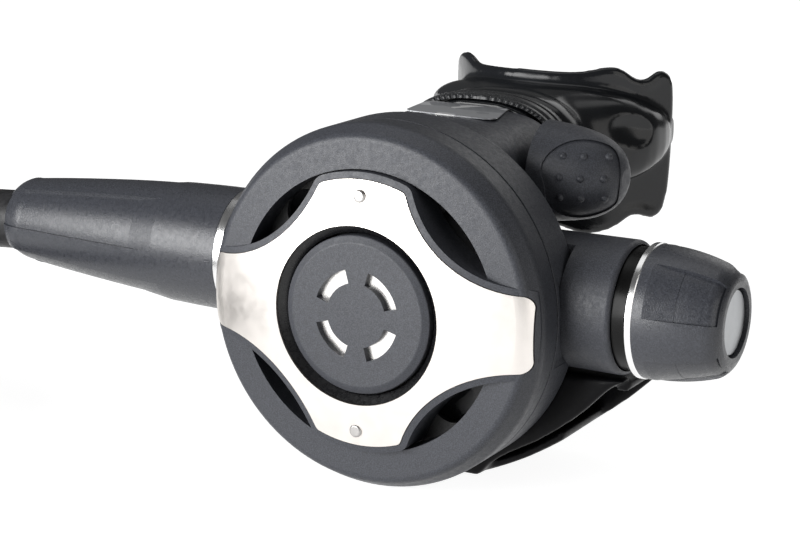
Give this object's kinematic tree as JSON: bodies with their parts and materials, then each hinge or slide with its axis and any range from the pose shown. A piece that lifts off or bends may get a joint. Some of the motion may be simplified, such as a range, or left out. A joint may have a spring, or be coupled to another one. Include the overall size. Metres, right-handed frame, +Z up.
{
  "type": "scuba regulator second stage with hose",
  "caption": "Round breathing regulator with a steel-faced purge cover, side knob, airflow lever, mouthpiece, exhaust tee and a coiled low-pressure hose.",
  "frame": {"origin": "middle of the exhaust tee's flat foot, on the ground", "axes": "+X towards the breathing-effort knob, +Y towards the mouthpiece, away from the purge cover, +Z up"},
  "size_m": [0.3035, 0.2169, 0.0787],
  "materials": {
    "charcoal": "fine speckled satin",
    "plate_steel": "satin",
    "rivet_steel": "polished",
    "bezel_dark": "gloss",
    "inlay_metal": "satin",
    "spring_steel": "drawn",
    "guard_black": "matte",
    "silicone": "soft",
    "label_silver": "satin",
    "brass_chrome": "polished",
    "o_ring": "soft",
    "poppet_plastic": "satin",
    "seat_rubber": "soft",
    "collar_black": "gloss",
    "ring_chrome": "polished",
    "cap_steel": "turned",
    "mouth_rubber": "glossy silicone",
    "strap_black": "satin",
    "tee_black": "satin",
    "sleeve_rubber": "satin",
    "hose_rubber": "satin"
  },
  "bodies": {
    "regulator": {"cover": "charcoal", "face_plate": "plate_steel", "plate_rivet_top": "rivet_steel", "plate_rivet_bottom": "rivet_steel", "purge_bezel": "bezel_dark", "purge_spring": "spring_steel", "diaphragm_guard": "guard_black", "slip_ring": "guard_black", "diaphragm": "silicone", "case": "charcoal", "case_label": "label_silver", "valve_barrel": "brass_chrome", "orifice": "brass_chrome", "orifice_o_ring": "o_ring", "valve_spring": "spring_steel", "adjust_bush": "brass_chrome", "mouthpiece": "mouth_rubber", "mouthpiece_clamp": "strap_black", "exhaust_spider": "guard_black", "exhaust_tee": "tee_black", "sleeve_ring": "ring_chrome", "hose_sleeve": "sleeve_rubber", "hose_nut": "brass_chrome", "hose_stem": "brass_chrome", "hose_o_ring": "o_ring", "hose_ferrule": "brass_chrome", "hose": "hose_rubber", "hose_coil": "hose_rubber", "hose_tail": "hose_rubber", "end_relief": "sleeve_rubber", "end_ferrule": "brass_chrome", "end_fitting": "brass_chrome", "end_o_ring": "o_ring"},
    "purge": {"purge_button": "charcoal", "purge_inlay": "inlay_metal", "purge_hub": "charcoal"},
    "diaphragm_plate": {"diaphragm_disc": "spring_steel"},
    "lever": {"demand_lever": "spring_steel"},
    "poppet": {"poppet": "poppet_plastic", "poppet_seat": "seat_rubber"},
    "adjuster": {"thrust_pad": "poppet_plastic"},
    "knob": {"adjust_screw": "spring_steel", "packing_o_ring": "o_ring", "knob_collar": "collar_black", "knob_ring": "ring_chrome", "knob": "charcoal", "knob_cap": "cap_steel"},
    "airflow": {"airflow_lever": "charcoal", "airflow_o_ring": "o_ring", "airflow_vane": "guard_black"},
    "exhaust": {"exhaust_valve": "silicone"}
  },
  "joints": [
    {"name": "purge_press", "type": "slide", "parent": "regulator", "child": "purge", "axis": [0, 1, 0], "range_m": [0, 0.0035], "stiffness_N_per_m": 900, "springref_m": -0.004, "deforming": ["purge_spring"]},
    {"name": "diaphragm_travel", "type": "slide", "parent": "regulator", "child": "diaphragm_plate", "axis": [0, 1, 0], "range_m": [0, 0.0035], "deforming": ["diaphragm"]},
    {"name": "lever_swing", "type": "hinge", "parent": "regulator", "child": "lever", "pos_m": [0.02, -0.0077, 0.0396], "axis": [0, 0, -1], "range_deg": [0, 10.1]},
    {"name": "poppet_travel", "type": "slide", "parent": "regulator", "child": "poppet", "axis": [1, 0, 0], "range_m": [0, 0.0014], "deforming": ["valve_spring"]},
    {"name": "adjuster_travel", "type": "slide", "parent": "regulator", "child": "adjuster", "axis": [-1, 0, 0], "range_m": [0, 0.00275]},
    {"name": "knob_turn", "type": "hinge", "parent": "adjuster", "child": "knob", "pos_m": [0.06, -0.0077, 0.0396], "axis": [1, 0, 0], "range_deg": [0, 903]},
    {"name": "airflow_turn", "type": "hinge", "parent": "regulator", "child": "airflow", "pos_m": [0.03, 0.005, 0.0626], "axis": [1, 0, 0], "range_deg": [0, 75]},
    {"name": "exhaust_lift", "type": "slide", "parent": "regulator", "child": "exhaust", "axis": [0, 1, 0], "range_m": [0, 0.001], "stiffness_N_per_m": 40, "springref_m": -0.001}
  ],
  "couplings": [
    {"joint": "diaphragm_travel", "follows": "purge_press", "ratio": 1},
    {"joint": "lever_swing", "follows": "purge_press", "rad_per_m": 50},
    {"joint": "poppet_travel", "follows": "purge_press", "ratio": 0.4},
    {"joint": "knob_turn", "follows": "adjuster_travel", "rad_per_m": 5712}
  ]
}
